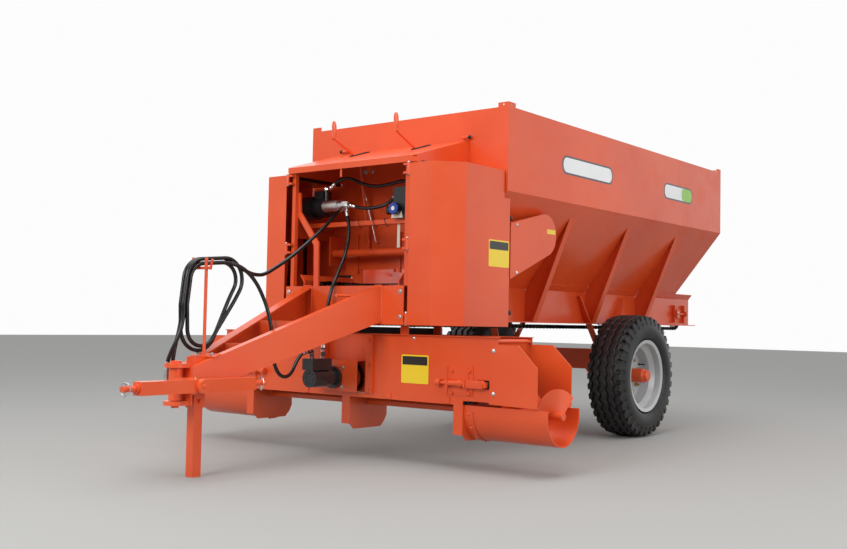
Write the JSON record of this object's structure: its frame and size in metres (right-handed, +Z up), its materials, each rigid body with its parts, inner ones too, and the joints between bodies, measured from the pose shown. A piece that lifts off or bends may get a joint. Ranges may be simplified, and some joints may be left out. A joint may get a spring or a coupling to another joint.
{
  "type": "towed manure spreader with front cross discharge",
  "caption": "Towed single-axle manure spreader: hopper with floor conveyor and beater, cross belt and screw troughs at the front, swivel drawbar hitch and parking leg.",
  "frame": {"origin": "on the ground, under the middle of the whole length and width", "axes": "+X forward along the drawbar, +Y to the machine's left, +Z up"},
  "size_m": [5.3134, 2.576, 1.975],
  "materials": {
    "paint": "gloss",
    "floor_paint": "satin",
    "black": "satin",
    "steel": "satin",
    "hose_rubber": "gloss",
    "belt_rubber": "matte",
    "tyre_rubber": "matte",
    "rim_silver": "satin"
  },
  "bodies": {
    "chassis": {"side_rails": "paint", "front_crossbeam": "paint", "cross_members": "paint", "drawbar_beams": "paint", "drawbar_plates": "paint", "nose_fork": "paint", "leg_sleeve": "paint", "hose_stand": "paint", "hopper_left": "paint", "hopper_right": "paint", "hopper_front": "paint", "hopper_rear": "paint", "hopper_ribs": "paint", "corner_brackets": "paint", "hopper_floor": "floor_paint", "floor_conveyor": "black", "conveyor_shafts": "steel", "rear_tensioners": "paint", "axle": "paint", "axle_struts": "paint", "roof": "paint", "gates": "paint", "door_posts": "paint", "inner_frame": "paint", "conveyor_motor": "black", "drive_chain": "black", "oil_filter": "steel", "flow_valve": "black", "hose_inner": "hose_rubber", "beater_bearings": "paint", "beater_guard": "paint", "box_front_plates": "paint", "box_rear_plates": "paint", "box_hangers": "paint", "cross_belt": "belt_rubber", "belt_tensioners": "paint", "chain_case": "paint", "belt_motor": "black", "screw_hangers": "paint", "troughs": "paint", "hose_coil": "hose_rubber", "hose_tails": "hose_rubber", "hose_feed": "hose_rubber", "hose_return": "hose_rubber", "hose_link": "hose_rubber", "hose_couplers": "steel"},
    "wheel_left": {"tyre_left": "tyre_rubber", "rim_left": "rim_silver", "hub_left": "paint"},
    "wheel_right": {"tyre_right": "tyre_rubber", "rim_right": "rim_silver", "hub_right": "paint"},
    "screw_rotor": {"screw": "paint"},
    "beater_rotor": {"beater": "paint"},
    "left_door": {"door_left": "paint"},
    "right_door": {"door_right": "paint"},
    "hitch": {"hitch_yoke": "paint", "hitch_bar": "paint"},
    "leg": {"parking_leg": "paint"}
  },
  "joints": [
    {"name": "wheel_left_spin", "type": "hinge", "parent": "chassis", "child": "wheel_left", "pos_m": [-1.13775, 0.618, 0.412], "axis": [0, 1, 0], "continuous": true},
    {"name": "wheel_right_spin", "type": "hinge", "parent": "chassis", "child": "wheel_right", "pos_m": [-1.13775, -0.618, 0.412], "axis": [0, 1, 0], "continuous": true},
    {"name": "screw_spin", "type": "hinge", "parent": "chassis", "child": "screw_rotor", "pos_m": [0.90225, 0, 0.3], "axis": [0, 1, 0], "continuous": true},
    {"name": "beater_spin", "type": "hinge", "parent": "chassis", "child": "beater_rotor", "pos_m": [0.19225, 0, 1.26], "axis": [0, 1, 0], "continuous": true},
    {"name": "left_door_swing", "type": "hinge", "parent": "chassis", "child": "left_door", "pos_m": [1.12125, 0.454, 1.16], "axis": [0, 0, -1], "range_deg": [0, 110]},
    {"name": "right_door_swing", "type": "hinge", "parent": "chassis", "child": "right_door", "pos_m": [1.12125, -0.454, 1.16], "axis": [0, 0, 1], "range_deg": [0, 110]},
    {"name": "hitch_swivel", "type": "hinge", "parent": "chassis", "child": "hitch", "pos_m": [2.25025, 0, 0.44], "axis": [0, 0, -1], "range_deg": [0, 150]},
    {"name": "leg_slide", "type": "slide", "parent": "chassis", "child": "leg", "axis": [0, 0, 1], "range_m": [0, 0.25]}
  ]
}
